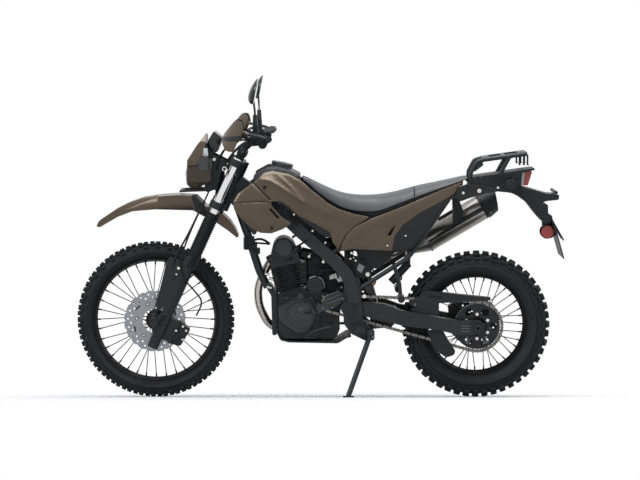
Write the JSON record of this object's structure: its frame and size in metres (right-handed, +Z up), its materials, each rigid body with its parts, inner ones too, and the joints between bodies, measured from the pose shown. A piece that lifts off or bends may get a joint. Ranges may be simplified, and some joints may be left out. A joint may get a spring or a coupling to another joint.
{
  "type": "dual sport motorcycle",
  "caption": "Tall single-cylinder dual sport motorcycle leaning on its side stand, with turning wheels, steering and a folding stand.",
  "frame": {"origin": "on the floor, below the middle of the motorcycle's length and of its handlebar as it leans", "axes": "+X to the rear, +Y to the rider's right, +Z up; the machine leans ten degrees to -Y on its side stand"},
  "size_m": [2.0662, 0.8813, 1.4094],
  "materials": {
    "tyre": "matte",
    "rim_black": "satin",
    "disc_steel": "brushed",
    "sprocket_steel": "satin",
    "fork_black": "satin",
    "gaiter_rubber": "matte",
    "chrome": "polished",
    "clamp_black": "satin",
    "axle_steel": "satin",
    "caliper_black": "satin",
    "body_brown": "metallic gloss",
    "clear_lens": "clear",
    "plastic_black": "matte",
    "frame_black": "satin",
    "bar_black": "satin",
    "grip_rubber": "matte",
    "guard_brown": "metallic gloss",
    "mirror_black": "satin",
    "signal_lens": "clear over grey",
    "hose_rubber": "matte",
    "swingarm_black": "satin",
    "engine_black": "satin black paint",
    "cover_black": "satin black paint",
    "chain_steel": "oiled",
    "skid_alloy": "satin",
    "peg_steel": "cast",
    "pedal_steel": "satin",
    "header_steel": "heat tinted",
    "muffler_steel": "satin",
    "tank_black": "satin",
    "seat_vinyl": "grained vinyl",
    "red_lens": "clear red",
    "rack_black": "satin",
    "shock_red": "gloss",
    "stand_black": "satin"
  },
  "bodies": {
    "chassis": {"frame": "frame_black", "subframe": "frame_black", "swingarm": "swingarm_black", "swingarm_bolt": "axle_steel", "rear_axle": "axle_steel", "engine_case": "engine_black", "engine_covers": "cover_black", "cylinder": "engine_black", "intake": "plastic_black", "chain": "chain_steel", "chain_guard": "plastic_black", "skid_plate": "skid_alloy", "foot_pegs": "peg_steel", "foot_pedals": "pedal_steel", "exhaust_pipe": "header_steel", "muffler": "muffler_steel", "shrouds": "body_brown", "side_panels": "body_brown", "fuel_tank": "tank_black", "tank_cover": "plastic_black", "seat": "seat_vinyl", "rear_fender": "plastic_black", "rear_lamps": "red_lens", "rear_rack": "rack_black", "rear_shock": "shock_red", "canister": "plastic_black", "rear_caliper": "caliper_black"},
    "steering": {"fork_sliders": "fork_black", "fork_gaiters": "gaiter_rubber", "fork_tubes": "chrome", "triple_clamps": "clamp_black", "front_axle": "axle_steel", "front_caliper": "caliper_black", "front_fender": "body_brown", "headlight_mask": "body_brown", "headlight_lens": "clear_lens", "instrument": "plastic_black", "lamp_stays": "frame_black", "handlebar": "bar_black", "hand_controls": "grip_rubber", "hand_guards": "guard_brown", "mirrors": "mirror_black", "front_signals": "signal_lens", "brake_hose": "hose_rubber"},
    "front_wheel": {"front_tyre": "tyre", "front_rim": "rim_black", "front_disc": "disc_steel"},
    "rear_wheel": {"rear_tyre": "tyre", "rear_rim": "rim_black", "rear_disc": "disc_steel", "rear_sprocket": "sprocket_steel"},
    "side_stand": {"side_stand": "stand_black"}
  },
  "joints": [
    {"name": "steer", "type": "hinge", "parent": "chassis", "child": "steering", "pos_m": [-0.32703, 0.02183, 0.98444], "axis": [0.4163, -0.1579, 0.8954], "range_deg": [-42, 42]},
    {"name": "front_wheel_spin", "type": "hinge", "parent": "steering", "child": "front_wheel", "pos_m": [-0.69757, 0.13714, 0.33053], "axis": [0, 0.9848, 0.1736], "continuous": true},
    {"name": "rear_wheel_spin", "type": "hinge", "parent": "chassis", "child": "rear_wheel", "pos_m": [0.6679, 0.14061, 0.31083], "axis": [0, 0.9848, 0.1736], "continuous": true},
    {"name": "side_stand_fold", "type": "hinge", "parent": "chassis", "child": "side_stand", "pos_m": [0.21507, -0.00856, 0.26422], "axis": [-0.0106, -0.9829, 0.1838], "range_deg": [0, 111]}
  ]
}
